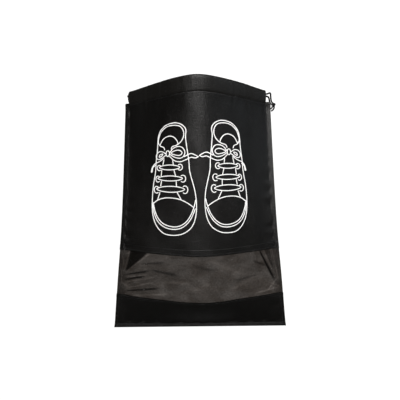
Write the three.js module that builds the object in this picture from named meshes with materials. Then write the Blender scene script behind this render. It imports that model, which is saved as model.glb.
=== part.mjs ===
// Drawstring shoe bag, lying on its back on a surface, mouth propped open.
// Millimetres. +X across the bag, +Y from the bottom seam to the mouth, +Z up from the
// surface that it lies on. The origin is at the middle of the underside.

import * as THREE from 'three';

// ---- driving dimensions -------------------------------------------------------------

const BAG_WIDTH = 320;            // flat width over the side seams
const BAG_LENGTH = 440;           // flat length from the bottom edge to the mouth
const BOTTOM_Y = -220;            // where the bottom edge lies
const HEM_LENGTH = 21;            // depth of the drawstring casing at the mouth
const WINDOW_START = 64;          // clear window, measured from the bottom edge
const WINDOW_END = 150;
const BOTTOM_ALLOWANCE = 8;       // cloth below the bottom seam
const SIDE_ALLOWANCE = 7;         // cloth outside each side seam

const CLOTH = 0.8;                // thickness of a cloth layer
const GAP = 0.4;                  // clearance between layers that lie together
const CASING_HEIGHT = 5.6;          // height of the folded casing over its two walls
const CORD_DIAMETER = 2.5;

// ---- the shape that the open bag takes ---------------------------------------------

const RIDGE_HEIGHT = 40;          // quick rise of the front panel above the bottom seam
const RIDGE_RISE = 4.3e-4;        // slow rise of the front panel towards the mouth
const RIDGE_START = 50;           // distance over which the quick rise takes place
const RIDGE_ROUNDNESS = 0.42;     // radius of the ridge against half the width
const EDGE_HEIGHT = 7;            // quick rise of the side seams
const EDGE_START = 60;
const EDGE_SLOPE = 0.087;         // slow rise of the side seams
const WIDTH_LOSS_EARLY = 11.1;    // how far each side comes in as the bag fills out
const WIDTH_LOSS_START = 100;
const WIDTH_LOSS_SLOPE = 0.058;
const EDGE_SHORTENING = 18.5;     // length that the side seams lose in gathers
const RIDGE_SHORTENING = 9.5;     // length that the ridge loses in its climb
const RIDGE_SHORTENING_START = 30;
const RIDGE_SHORTENING_LATE = 1.3e-7;
const BACK_FLAT_HALF = 0.7;       // share of the back panel that lies flat
const SPLAY = 6.4;                // how far the two casings part at the mouth's corners

const CASING_SEAM = BAG_LENGTH - HEM_LENGTH;
const SPLAY_START = CASING_SEAM - 12;
const BACK_LEVEL = CLOTH / 2;
const FRONT_LEVEL = BACK_LEVEL + CLOTH + GAP;

function pastBottomSeam(v) {
  return Math.max(0, v - BOTTOM_ALLOWANCE);
}

function smoothStep(low, high, value) {
  const t = Math.min(1, Math.max(0, (value - low) / (high - low)));
  return t * t * (3 - 2 * t);
}

function ridgeHeight(v) {
  const d = pastBottomSeam(v);
  return RIDGE_HEIGHT * (1 - Math.exp(-d / RIDGE_START)) + RIDGE_RISE * d * d;
}

function edgeHeight(v) {
  const d = pastBottomSeam(v);
  return EDGE_HEIGHT * (1 - Math.exp(-d / EDGE_START)) + EDGE_SLOPE * d;
}

function outerHalfWidth(v) {
  return BAG_WIDTH / 2 - WIDTH_LOSS_EARLY * (1 - Math.exp(-v / WIDTH_LOSS_START)) - WIDTH_LOSS_SLOPE * v;
}

function seamHalfWidth(v) {
  return outerHalfWidth(v) - SIDE_ALLOWANCE;
}

function edgeY(v) {
  return BOTTOM_Y + v - EDGE_SHORTENING * (v / BAG_LENGTH) ** 2;
}

function ridgeY(v) {
  const early = RIDGE_SHORTENING * (1 - Math.exp(-v / RIDGE_SHORTENING_START));
  return BOTTOM_Y + v - early - RIDGE_SHORTENING_LATE * v ** 3;
}

// Height across the front panel, from 0 at the side seams to 1 at the rounded ridge.
function gable(across) {
  const top = Math.sqrt(1 + RIDGE_ROUNDNESS ** 2);
  return (top - Math.sqrt(across ** 2 + RIDGE_ROUNDNESS ** 2)) / (top - RIDGE_ROUNDNESS);
}

function splay(v) {
  return SPLAY * smoothStep(SPLAY_START, BAG_LENGTH, v);
}

// across runs from -1 to 1 between the side seams, and past them over the seam allowance.
function acrossToX(across, v) {
  const inside = Math.min(1, Math.abs(across));
  const outside = Math.max(0, Math.abs(across) - 1);
  return Math.sign(across) * (seamHalfWidth(v) * inside + outside * BAG_WIDTH / 2);
}

function frontPoint(across, v) {
  const rise = gable(Math.min(1, Math.abs(across)));
  const edge = edgeHeight(v) + splay(v);
  const z = FRONT_LEVEL + edge + (ridgeHeight(v) - edge) * rise;
  return new THREE.Vector3(acrossToX(across, v), edgeY(v) + (ridgeY(v) - edgeY(v)) * rise, z);
}

function backPoint(across, v) {
  const lift = smoothStep(BACK_FLAT_HALF, 1, Math.abs(across));
  const y = BOTTOM_Y + v - EDGE_SHORTENING * (v / BAG_LENGTH) ** 2 * lift;
  return new THREE.Vector3(acrossToX(across, v), y, BACK_LEVEL + (edgeHeight(v) - splay(v)) * lift);
}

function surfaceNormal(surface, across, v) {
  const step = 0.01;
  const dx = surface(across + step, v).sub(surface(across - step, v));
  const dy = surface(across, v + 1).sub(surface(across, v - 1));
  return dx.cross(dy).normalize();
}

function offsetPoint(surface, across, v, height) {
  return surface(across, v).addScaledVector(surfaceNormal(surface, across, v), height);
}

// ---- solids -------------------------------------------------------------------------

function evenSteps(start, end, count) {
  return Array.from({ length: count + 1 }, (_, i) => start + (end - start) * i / count);
}

// Joins rings of points into one closed skin. Each ring has the same number of points.
function skinFromRings(rings, closesOnItself) {
  const positions = [];
  const ringSize = rings[0].length;
  const quads = closesOnItself ? rings.length : rings.length - 1;
  const corner = (ring, i) => rings[ring % rings.length][i % ringSize];
  const triangle = (a, b, c) => [a, b, c].forEach((p) => positions.push(p.x, p.y, p.z));
  for (let ring = 0; ring < quads; ring++) {
    for (let i = 0; i < ringSize; i++) {
      triangle(corner(ring, i), corner(ring, i + 1), corner(ring + 1, i + 1));
      triangle(corner(ring, i), corner(ring + 1, i + 1), corner(ring + 1, i));
    }
  }
  return { positions, triangle };
}

// A layer of cloth over a surface, between two heights above it.
function layerGeometry(surface, acrossSteps, vSteps, low, high) {
  const rings = acrossSteps.map((across) => {
    const under = vSteps.map((v) => offsetPoint(surface, across, v, low));
    const over = vSteps.map((v) => offsetPoint(surface, across, v, high));
    return [...under, ...over.reverse()];
  });
  const { positions, triangle } = skinFromRings(rings, false);
  const last = vSteps.length * 2 - 1;
  for (let i = 0; i < vSteps.length - 1; i++) {
    const first = rings[0];
    const end = rings[rings.length - 1];
    triangle(first[i], first[last - i - 1], first[i + 1]);
    triangle(first[i], first[last - i], first[last - i - 1]);
    triangle(end[i], end[i + 1], end[last - i - 1]);
    triangle(end[i], end[last - i - 1], end[last - i]);
  }
  return orientedGeometry(positions);
}

// The folded casing: a tunnel along the mouth, open at both ends. Its section is flat where
// it is sewn down and full at the fold, and its outer wall is flush with the panel.
const SECTION_POINTS = 12;
const SEWN_FULLNESS = 0.4;

function casingSection(surface, across, side, wall) {
  const middle = CASING_SEAM + GAP + HEM_LENGTH / 2;
  const halfLength = HEM_LENGTH / 2 - GAP - wall;
  return evenSteps(0, 2 * Math.PI, SECTION_POINTS).slice(0, SECTION_POINTS).map((angle) => {
    const along = Math.sign(Math.cos(angle)) * Math.abs(Math.cos(angle)) ** 0.45;
    const upwards = Math.sign(Math.sin(angle)) * Math.abs(Math.sin(angle)) ** 0.6;
    const fullness = SEWN_FULLNESS + (1 - SEWN_FULLNESS) * smoothStep(-1, 0.2, along);
    const halfHeight = CASING_HEIGHT * fullness / 2;
    const height = CLOTH / 2 - halfHeight + upwards * (halfHeight - wall);
    return offsetPoint(surface, across, middle + along * halfLength, side * height);
  });
}

function casingGeometry(surface, acrossSteps, side) {
  const outer = acrossSteps.map((across) => casingSection(surface, across, side, 0));
  const inner = acrossSteps.map((across) => casingSection(surface, across, side, CLOTH));
  const { positions } = skinFromRings([...outer, ...inner.reverse()], true);
  return orientedGeometry(positions);
}

// Turns the faces outwards when the rings were joined the other way round.
function orientedGeometry(positions) {
  let volume = 0;
  for (let i = 0; i < positions.length; i += 9) {
    const [ax, ay, az, bx, by, bz, cx, cy, cz] = positions.slice(i, i + 9);
    volume += ax * (by * cz - bz * cy) - ay * (bx * cz - bz * cx) + az * (bx * cy - by * cx);
  }
  if (volume < 0) {
    for (let i = 0; i < positions.length; i += 9) {
      const second = positions.slice(i + 3, i + 6);
      positions.splice(i + 3, 6, ...positions.slice(i + 6, i + 9), ...second);
    }
  }
  const geometry = new THREE.BufferGeometry();
  geometry.setAttribute('position', new THREE.Float32BufferAttribute(positions, 3));
  geometry.computeVertexNormals();
  return geometry;
}

function roundSection(radius, sides) {
  const points = evenSteps(0, 1, sides).slice(0, sides).map((turn) => {
    const angle = turn * 2 * Math.PI;
    return new THREE.Vector2(radius * Math.cos(angle), radius * Math.sin(angle));
  });
  return new THREE.Shape(points);
}

function cordGeometry(points, steps) {
  const path = new THREE.CatmullRomCurve3(points, false, 'centripetal');
  return new THREE.ExtrudeGeometry(roundSection(CORD_DIAMETER / 2, 8), { extrudePath: path, steps });
}

// ---- materials and nodes ------------------------------------------------------------

const bag = new THREE.Group();

function addNode(name, geometry, finish) {
  const mesh = new THREE.Mesh(geometry, new THREE.MeshStandardMaterial(finish));
  mesh.name = name;
  bag.add(mesh);
  return mesh;
}

const CLOTH_FINISH = { color: 0x121110, roughness: 0.72, metalness: 0 };
const FILM_FINISH = { color: 0x3e3a38, roughness: 0.3, metalness: 0, transparent: true, opacity: 0.4 };
const THREAD_FINISH = { color: 0x17171a, roughness: 0.6, metalness: 0 };
const INK_FINISH = { color: 0xf2f2f0, roughness: 0.6, metalness: 0 };
const CORD_FINISH = { color: 0x141416, roughness: 0.8, metalness: 0 };

// ---- cloth and film -----------------------------------------------------------------

const ALLOWANCE_ACROSS = 1 + SIDE_ALLOWANCE / (BAG_WIDTH / 2);
const PANEL_COLUMNS = [-ALLOWANCE_ACROSS, ...evenSteps(-1, 1, 18), ALLOWANCE_ACROSS];
const HALF_CLOTH = CLOTH / 2;

const LOWER_ROWS = evenSteps(0, WINDOW_START, 8);
const WINDOW_ROWS = evenSteps(WINDOW_START, WINDOW_END, 5);
const UPPER_ROWS = [...evenSteps(WINDOW_END, SPLAY_START, 11), ...evenSteps(SPLAY_START, CASING_SEAM, 3).slice(1)];
const BACK_ROWS = [...LOWER_ROWS, ...WINDOW_ROWS.slice(1), ...UPPER_ROWS.slice(1)];

// Each panel stops half a gap short of its neighbour along the bag.
function addPanel(name, surface, rows, finish) {
  const last = rows.length - 1;
  const vSteps = rows.map((v, i) => v + (i === 0 ? GAP / 2 : 0) - (i === last ? GAP / 2 : 0));
  return addNode(name, layerGeometry(surface, PANEL_COLUMNS, vSteps, -HALF_CLOTH, HALF_CLOTH), finish);
}

addPanel('back_panel', backPoint, BACK_ROWS, CLOTH_FINISH);
addPanel('front_lower_panel', frontPoint, LOWER_ROWS, CLOTH_FINISH);
addPanel('window_film', frontPoint, WINDOW_ROWS, FILM_FINISH);
addPanel('front_upper_panel', frontPoint, UPPER_ROWS, CLOTH_FINISH);

const CASING_END = 0.985;
const CASING_COLUMNS = evenSteps(-CASING_END, CASING_END, 26);
addNode('front_casing', casingGeometry(frontPoint, CASING_COLUMNS, 1), CLOTH_FINISH);
addNode('back_casing', casingGeometry(backPoint, CASING_COLUMNS, -1), CLOTH_FINISH);

// ---- seams: the thread that shows on each seam --------------------------------------

const THREAD_WIDTH = 1;
const THREAD_LOW = HALF_CLOTH + 0.35;
const THREAD_HIGH = THREAD_LOW + 0.4;
const SEAM_INSET = 3;

function addCrossSeam(name, surface, v, columns) {
  const vSteps = [v - THREAD_WIDTH / 2, v + THREAD_WIDTH / 2];
  return addNode(name, layerGeometry(surface, columns, vSteps, THREAD_LOW, THREAD_HIGH), THREAD_FINISH);
}

function addSideSeam(name, side) {
  const columns = [1.008, 1.016].map((across) => side * across);
  const vSteps = evenSteps(BOTTOM_ALLOWANCE + SEAM_INSET, CASING_SEAM - SEAM_INSET, 40);
  const sorted = columns.sort((a, b) => a - b);
  return addNode(name, layerGeometry(frontPoint, sorted, vSteps, THREAD_LOW, THREAD_HIGH), THREAD_FINISH);
}

const SEAM_COLUMNS = PANEL_COLUMNS.slice(1, -1);

addCrossSeam('front_casing_thread', frontPoint, CASING_SEAM - SEAM_INSET, SEAM_COLUMNS);
addCrossSeam('window_top_thread', frontPoint, WINDOW_END + SEAM_INSET, SEAM_COLUMNS);
addCrossSeam('window_bottom_thread', frontPoint, WINDOW_START - SEAM_INSET, SEAM_COLUMNS);
addCrossSeam('bottom_seam_thread', frontPoint, BOTTOM_ALLOWANCE - SEAM_INSET, SEAM_COLUMNS);
addCrossSeam('back_casing_thread', backPoint, CASING_SEAM - SEAM_INSET, SEAM_COLUMNS.slice(2, -2));
addSideSeam('left_side_thread', -1);
addSideSeam('right_side_thread', 1);

// ---- print: an ink outline of each shoe, heel towards the mouth ----------------------

const INK_LINE = 3;
const INK_LOW = HALF_CLOTH + 0.35;
const INK_HIGH = INK_LOW + 0.2;

// Half width of a shoe's sole, from 0 at the heel to 1 at the toe.
function soleHalfWidth(along) {
  const body = Math.sin(Math.PI * along) ** 0.42;
  return body * (33 + 10 * smoothStep(0.35, 0.85, along));
}

function outlineRing(centreAcross, heelV, length, turn) {
  const side = turn < 0.5 ? -1 : 1;
  const share = turn < 0.5 ? turn * 2 : 2 - turn * 2;
  const along = 0.5 - 0.5 * Math.cos(Math.PI * share);
  const v = heelV - length * along;
  const halfWidth = side * soleHalfWidth(along);
  const section = [[0, INK_LOW], [0, INK_HIGH], [1, INK_HIGH], [1, INK_LOW]];
  const middle = heelV - length / 2;
  return section.map(([inward, height]) => {
    const shrink = 1 - inward * INK_LINE / Math.max(20, Math.abs(halfWidth));
    const shorter = 1 - inward * INK_LINE * 2 / length;
    const across = centreAcross + halfWidth * shrink / seamHalfWidth(v);
    return offsetPoint(frontPoint, across, middle + (v - middle) * shorter, height);
  });
}

function addPrint(name, centreAcross, heelV, length) {
  const rings = evenSteps(0, 1, 48).slice(0, 48).map((turn) => outlineRing(centreAcross, heelV, length, turn));
  const { positions } = skinFromRings(rings, true);
  return addNode(name, orientedGeometry(positions), INK_FINISH);
}

addPrint('print_left_shoe', -0.34, 376, 191);
addPrint('print_right_shoe', 0.37, 379, 191);

// ---- drawstring: one cord through both casings, turned at the left, knotted at the right

const CORD_INSET = (CASING_HEIGHT - CLOTH) / 2;
const CORD_BELOW_MOUTH = 5.5;
const RUN_STEPS = 52;

function runPoints(surface, side) {
  const v = BAG_LENGTH - CORD_BELOW_MOUTH;
  return CASING_COLUMNS.map((across) => offsetPoint(surface, across, v, -side * CORD_INSET));
}

const frontRun = runPoints(frontPoint, 1);
const backRun = runPoints(backPoint, -1);
addNode('cord_front_run', cordGeometry(frontRun, RUN_STEPS), CORD_FINISH);
addNode('cord_back_run', cordGeometry(backRun, RUN_STEPS), CORD_FINISH);

const TURN_REACH = 4.4;

// A half turn at the left end, from the front casing down into the back casing.
function leftTurnPoints() {
  const front = frontRun[0];
  const back = backRun[0];
  const middle = front.clone().add(back).multiplyScalar(0.5);
  const x = Math.min(front.x, back.x) - 2 * GAP;
  return evenSteps(0, Math.PI, 8).map((angle) => new THREE.Vector3(
    x - Math.sin(angle) * TURN_REACH,
    middle.y + (front.y - middle.y) * Math.cos(angle),
    middle.z + (front.z - middle.z) * Math.cos(angle),
  ));
}

addNode('cord_left_turn', cordGeometry(leftTurnPoints(), 12), CORD_FINISH);

// The two free ends leave the right end of the casings, drop over the side of the bag and
// meet in an overhand knot that lies beside it, with two short tails.

const FRONT_STRAND = [
  [116.3, 196.8, 50.6], [119.8, 197.4, 51], [122.8, 199, 49.8], [125.8, 199.2, 45.5], [128.4, 198, 36],
  [131.6, 196.6, 25], [135.6, 195.8, 14], [140.4, 194.8, 6.9],
];
const BACK_STRAND = [
  [116.3, 196.6, 41.2], [119.8, 196.4, 40.8], [124.4, 195.2, 37], [127.4, 193.6, 30], [131, 192.6, 20],
  [135.2, 192.2, 10.5], [138.4, 192.9, 5.4],
];
const KNOT_CENTRE = [141.8, 193.6, 3.4];
const KNOT_SIZE = [2.9, 2.5, 2.7];
const FRONT_TAIL = [[139.6, 190, 2.3], [138.2, 188.2, 1.7], [135.8, 186.7, 1.4], [132.8, 185.6, 1.4]];
const BACK_TAIL = [[143, 190.2, 2.3], [143.4, 187.8, 1.7], [142.8, 185.2, 1.4], [141, 182.6, 1.4]];

function addCord(name, route, steps) {
  return addNode(name, cordGeometry(route.map((point) => new THREE.Vector3(...point)), steps), CORD_FINISH);
}

addCord('cord_front_strand', FRONT_STRAND, 22);
addCord('cord_back_strand', BACK_STRAND, 20);
addCord('cord_front_tail', FRONT_TAIL, 6);
addCord('cord_back_tail', BACK_TAIL, 6);

function addKnot() {
  const geometry = new THREE.SphereGeometry(1, 14, 10);
  geometry.scale(...KNOT_SIZE);
  addNode('cord_knot', geometry, CORD_FINISH).position.set(...KNOT_CENTRE);
}

addKnot();

export default bag;
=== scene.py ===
import math
import random

import bpy
import numpy as np
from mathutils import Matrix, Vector


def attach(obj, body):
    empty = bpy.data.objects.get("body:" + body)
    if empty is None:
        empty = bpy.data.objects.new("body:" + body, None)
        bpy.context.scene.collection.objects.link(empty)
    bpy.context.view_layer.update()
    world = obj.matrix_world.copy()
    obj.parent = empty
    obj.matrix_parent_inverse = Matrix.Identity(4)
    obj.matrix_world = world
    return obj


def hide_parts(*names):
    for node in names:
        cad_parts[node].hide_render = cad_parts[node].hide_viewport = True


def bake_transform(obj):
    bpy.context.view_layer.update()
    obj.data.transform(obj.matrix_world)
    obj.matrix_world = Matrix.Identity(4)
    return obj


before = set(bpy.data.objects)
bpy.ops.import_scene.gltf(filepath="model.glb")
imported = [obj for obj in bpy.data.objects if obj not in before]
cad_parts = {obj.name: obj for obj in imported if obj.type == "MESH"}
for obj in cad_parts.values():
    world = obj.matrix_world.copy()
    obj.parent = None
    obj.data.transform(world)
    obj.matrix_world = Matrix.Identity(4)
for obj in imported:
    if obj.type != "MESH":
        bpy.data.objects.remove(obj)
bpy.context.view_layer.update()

# ---------------------------------------------------------------------------------------
# The camera looks straight down at the printed front of the bag, which lies on its back
# with its bottom edge towards the viewer.

CAMERA_PLACE = (0.0022, 0.0172, 0.546)
CAMERA_LENS = 26.1
CAMERA_ROLL = -0.6

camera = bpy.data.objects.new("camera", bpy.data.cameras.new("camera"))
camera.data.lens = CAMERA_LENS
camera.data.sensor_width = 36
camera.data.clip_start = 0.01
camera.location = CAMERA_PLACE
camera.rotation_euler = (0, 0, math.radians(CAMERA_ROLL))
bpy.context.collection.objects.link(camera)
bpy.context.scene.camera = camera

# ---------------------------------------------------------------------------------------
# Studio: a pale light table, one large soft box overhead, a weaker one from the right, and
# a dim even surround, so that black cloth keeps its slopes dark and its ridge soft.

FLOOR_SIZE = 6.0
FLOOR_DROP = 0.0004
FLOOR_TONE = (0.18, 0.18, 0.18, 1)
FLOOR_GLOW = 0.74
SURROUND = (0.80, 0.84, 0.90)
SURROUND_STRENGTH = 0.07
BACKDROP_STRENGTH = 0.95


def new_material(name):
    material = bpy.data.materials.new(name)
    material.use_nodes = True
    return material, material.node_tree, material.node_tree.nodes["Principled BSDF"]


def grid_mesh(name, points, faces, corner_uv=None):
    mesh = bpy.data.meshes.new(name)
    mesh.from_pydata([tuple(point) for point in points], [], faces)
    if corner_uv is not None:
        layer = mesh.uv_layers.new(name="cloth")
        layer.data.foreach_set("uv", np.asarray(corner_uv, dtype=np.float32).ravel())
    return mesh


def add_piece(name, mesh, material, smooth_angle=0.7):
    mesh.materials.append(material)
    mesh.shade_smooth()
    mesh.set_sharp_from_angle(angle=smooth_angle)
    piece = bpy.data.objects.new(name, mesh)
    bpy.context.collection.objects.link(piece)
    return piece


def soft_box(name, place, size, power, colour):
    data = bpy.data.lights.new(name, "AREA")
    data.shape = "RECTANGLE"
    data.size, data.size_y = size
    data.energy = power
    data.color = colour
    light = bpy.data.objects.new(name, data)
    light.location = place
    light.rotation_euler = (-Vector(place)).to_track_quat("-Z", "Y").to_euler()
    bpy.context.collection.objects.link(light)


half = FLOOR_SIZE / 2
floor_points = [(-half, -half, -FLOOR_DROP), (half, -half, -FLOOR_DROP), (half, half, -FLOOR_DROP),
                (-half, half, -FLOOR_DROP)]
floor_material, floor_tree, floor_shader = new_material("pale_table")
floor_shader.inputs["Base Color"].default_value = FLOOR_TONE
floor_shader.inputs["Emission Color"].default_value = (1, 1, 1, 1)
seen_directly = floor_tree.nodes.new("ShaderNodeLightPath").outputs["Is Camera Ray"]
glow = floor_tree.nodes.new("ShaderNodeMath")
glow.operation = "MULTIPLY"
glow.inputs[1].default_value = FLOOR_GLOW
floor_tree.links.new(seen_directly, glow.inputs[0])
floor_tree.links.new(glow.outputs[0], floor_shader.inputs["Emission Strength"])
floor_shader.inputs["Roughness"].default_value = 0.9
floor = add_piece("floor", grid_mesh("floor", floor_points, [(0, 1, 2, 3)]), floor_material)

soft_box("overhead_box", place=(0.08, 0.28, 1.7), size=(0.50, 1.0), power=62, colour=(1.0, 0.985, 0.97))
soft_box("right_box", place=(1.5, 0.3, 0.9), size=(0.9, 1.2), power=7, colour=(0.84, 0.92, 1.0))

world = bpy.data.worlds.new("surround")
bpy.context.scene.world = world
world.use_nodes = True
dim = world.node_tree.nodes["Background"]
dim.inputs["Color"].default_value = (*SURROUND, 1)
dim.inputs["Strength"].default_value = SURROUND_STRENGTH
pale = world.node_tree.nodes.new("ShaderNodeBackground")
pale.inputs["Strength"].default_value = BACKDROP_STRENGTH
seen = world.node_tree.nodes.new("ShaderNodeLightPath")
choice = world.node_tree.nodes.new("ShaderNodeMixShader")
world.node_tree.links.new(seen.outputs["Is Camera Ray"], choice.inputs[0])
world.node_tree.links.new(dim.outputs[0], choice.inputs[1])
world.node_tree.links.new(pale.outputs[0], choice.inputs[2])
world.node_tree.links.new(choice.outputs[0], world.node_tree.nodes["World Output"].inputs["Surface"])
bpy.context.scene.view_settings.view_transform = "Standard"

# ---------------------------------------------------------------------------------------
# Back panel: the half of the cloth that lies on the table. Spunbond polypropylene cloth,
# cut flat, sewn to the front along the sides and the bottom, flat but for its raised edges.

BAG_WIDTH = 0.320
BAG_LENGTH = 0.440
BOTTOM_Y = -0.220
HEM_LENGTH = 0.021
WINDOW_START = 0.064
WINDOW_END = 0.150
BOTTOM_ALLOWANCE = 0.008
SIDE_ALLOWANCE = 0.007
CASING_SEAM = BAG_LENGTH - HEM_LENGTH
SPLAY_START = CASING_SEAM - 0.012
SPLAY = 0.0064
CLOTH = 0.0005
BACK_LEVEL = 0.0004
FRONT_LEVEL = 0.0016
RIDGE_ROUNDNESS = 0.27
FOOT_FLARE = 0.030
LEFT_DROOP = 0.30
SOFT_START = 0.010
BACK_FLAT_HALF = 0.7
RIDGE_RISE, RIDGE_RISE_LENGTH, RIDGE_SWEEP = 0.040, 0.050, 0.43
EDGE_RISE, EDGE_RISE_LENGTH, EDGE_SLOPE = 0.007, 0.060, 0.087
SIDE_PULL, SIDE_PULL_LENGTH, SIDE_TAPER = 0.0111, 0.100, 0.058
SIDE_SPARE, FULLNESS, FULLEST, FULL_LENGTH = 0.0006, 0.0026, 0.090, 0.080
EDGE_SHORTENING = 0.0185
RIDGE_PULL, RIDGE_PULL_LENGTH, RIDGE_SHORTENING = 0.0095, 0.030, 0.13
PUCKER_HEIGHT, PUCKER_PITCH = 0.0009, 0.026
BROAD_WAVE, FINE_WAVE = 0.0009, 0.00035
DRAG_HEIGHT = 0.0009
RIPPLE_HEIGHT = 0.00032
BACK_PUCKER_SHARE = 0.35
TONGUE_LENGTH = 0.0026
TONGUE_DIP = 0.0010
SEAM_EDGE = 1 + SIDE_ALLOWANCE / (BAG_WIDTH / 2)


def smooth_step(low, high, value):
    share = np.clip((value - low) / (high - low), 0, 1)
    return share * share * (3 - 2 * share)


# How the open bag stands. Every shape below is given by v, the way up the cloth from its
# bottom edge in metres, and by across, from -1 at the left seam to 1 at the right one.
def ridge_height(v):
    d = np.maximum(0, v - BOTTOM_ALLOWANCE)
    d = d ** 2 / (d + SOFT_START)
    return RIDGE_RISE * (1 - np.exp(-d / RIDGE_RISE_LENGTH)) + RIDGE_SWEEP * d * d


def edge_height(v):
    d = np.maximum(0, v - BOTTOM_ALLOWANCE)
    return EDGE_RISE * (1 - np.exp(-d / EDGE_RISE_LENGTH)) + EDGE_SLOPE * d


def seam_half_width(v):
    fullness = SIDE_SPARE + FULLNESS * np.exp(-((v - FULLEST) / FULL_LENGTH) ** 2)
    pulled = BAG_WIDTH / 2 - SIDE_PULL * (1 - np.exp(-v / SIDE_PULL_LENGTH))
    return pulled - SIDE_TAPER * v - SIDE_ALLOWANCE + fullness


def edge_y(v):
    return BOTTOM_Y + v - EDGE_SHORTENING * (v / BAG_LENGTH) ** 2


def ridge_y(v):
    return BOTTOM_Y + v - RIDGE_PULL * (1 - np.exp(-v / RIDGE_PULL_LENGTH)) - RIDGE_SHORTENING * v ** 3


def gable(across):
    top = math.sqrt(1 + RIDGE_ROUNDNESS ** 2)
    slope = (top - np.sqrt(across ** 2 + RIDGE_ROUNDNESS ** 2)) / (top - RIDGE_ROUNDNESS)
    flared = np.sqrt(slope ** 2 + FOOT_FLARE ** 2) - FOOT_FLARE
    return flared / (math.sqrt(1 + FOOT_FLARE ** 2) - FOOT_FLARE)


def splay(v):
    return SPLAY * smooth_step(SPLAY_START, BAG_LENGTH, v)


def across_to_x(across, v):
    inside = np.minimum(1, np.abs(across))
    outside = np.maximum(0, np.abs(across) - 1)
    return np.sign(across) * (seam_half_width(v) * inside + outside * BAG_WIDTH / 2)


# The left seam allowance droops outwards; the right one lies level.
def droop(across, v):
    return LEFT_DROOP * np.maximum(0, -across - 1) * BAG_WIDTH / 2 * smooth_step(0.02, 0.10, v)


def front_shape(across, v):
    rise = gable(np.minimum(1, np.abs(across)))
    edge = edge_height(v) + splay(v)
    z = FRONT_LEVEL + edge + (ridge_height(v) - edge) * rise - droop(across, v)
    y = edge_y(v) + (ridge_y(v) - edge_y(v)) * rise
    return np.stack([across_to_x(across, v), y, z], -1)


def back_shape(across, v):
    lift = smooth_step(BACK_FLAT_HALF, 1, np.abs(across))
    y = BOTTOM_Y + v - EDGE_SHORTENING * (v / BAG_LENGTH) ** 2 * lift
    z = BACK_LEVEL + (edge_height(v) - splay(v)) * lift - droop(across, v)
    return np.stack([across_to_x(across, v), y, z], -1)


def surface_normal(shape, across, v):
    wide, long = 0.004, 0.0005
    over = shape(across + wide, v) - shape(across - wide, v)
    along = shape(across, v + long) - shape(across, v - long)
    normal = np.cross(over, along)
    return normal / np.linalg.norm(normal, axis=-1, keepdims=True)


# Puckers that the side seams' thread draws into the cloth, strongest just inside the seam.
def seam_puckers(across, v):
    inside = np.clip(1 - np.abs(across), 0, 1)
    side = np.sign(across)
    reach = np.exp(-inside / 0.055) * (1 - np.exp(-inside / 0.012))
    phase = 2 * np.pi * v / PUCKER_PITCH + 1.9 * np.sin(v * 37 + side) + 0.8 * np.sin(v * 91 + 2 * side)
    uneven = 0.55 + 0.45 * np.sin(v * 23 + 2.4 * side)
    return PUCKER_HEIGHT * reach * uneven * np.sin(phase) * smooth_step(0.012, 0.05, v)


# Long slack waves and a few soft creases over the whole front.
def slack_waves(across, v):
    broad = BROAD_WAVE * np.sin(across * 5.1 + v * 9.0 + 0.6) * np.sin(v * 17 - across * 1.4 + 1.1)
    fine = FINE_WAVE * np.sin(across * 17 + v * 41) * np.sin(v * 63 - across * 6)
    creases = 0.0
    for place, slope, depth, width in ((-0.52, 0.9, 0.0007, 0.022), (0.66, -0.5, 0.0009, 0.020),
                                       (0.30, 0.35, 0.0005, 0.028), (-0.80, 0.25, 0.0008, 0.018)):
        distance = (across - place - slope * (v - 0.28)) / (width * 8)
        creases = creases + depth * np.exp(-distance ** 2)
    ends = 1 - np.abs(across) ** 6
    return (broad + fine + creases) * np.clip(ends, 0, 1) * smooth_step(0.010, 0.06, v)


# The lower edge drags into short waves where the flat bottom seam meets the rising front.
def bottom_waves(across, v):
    reach = np.exp(-np.maximum(0, v - 0.010) / 0.016) * smooth_step(0.008, 0.014, v)
    return DRAG_HEIGHT * reach * np.sin(across * 29 + 1.3 * np.sin(across * 9)) * (np.abs(across) < 1)


# The cord and the hem's stitching gather the casing into shallow ripples.
def casing_ripples(across, v):
    reach = smooth_step(CASING_SEAM - 0.03, CASING_SEAM, v)
    phase = across * 52 + 2.2 * np.sin(across * 11 + 0.4) + 0.9 * np.sin(across * 27)
    phase = phase + 1.7 * np.sin(across * 7.3 + v * 60)
    quiet = 0.25 + 0.75 * smooth_step(0.15, 0.45, np.abs(across))
    return RIPPLE_HEIGHT * reach * quiet * np.sin(phase) * np.clip(1.02 - np.abs(across), 0, 1) ** 0.5


def front_relief(across, v):
    return sum(relief(across, v) for relief in (seam_puckers, slack_waves, bottom_waves, casing_ripples))


def front_surface(across, v):
    raised = front_relief(across, v)[..., None]
    return front_shape(across, v) + raised * surface_normal(front_shape, across, v)


def back_surface(across, v):
    raised = BACK_PUCKER_SHARE * (seam_puckers(across, v) * (np.abs(across) > BACK_FLAT_HALF))[..., None]
    return back_shape(across, v) + np.abs(raised) * surface_normal(back_shape, across, v)


def on_surface(surface, across, v, height):
    across, v = np.broadcast_arrays(np.asarray(across, float), np.asarray(v, float))
    return surface(across, v) + np.asarray(height)[..., None] * surface_normal(surface, across, v)


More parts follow.
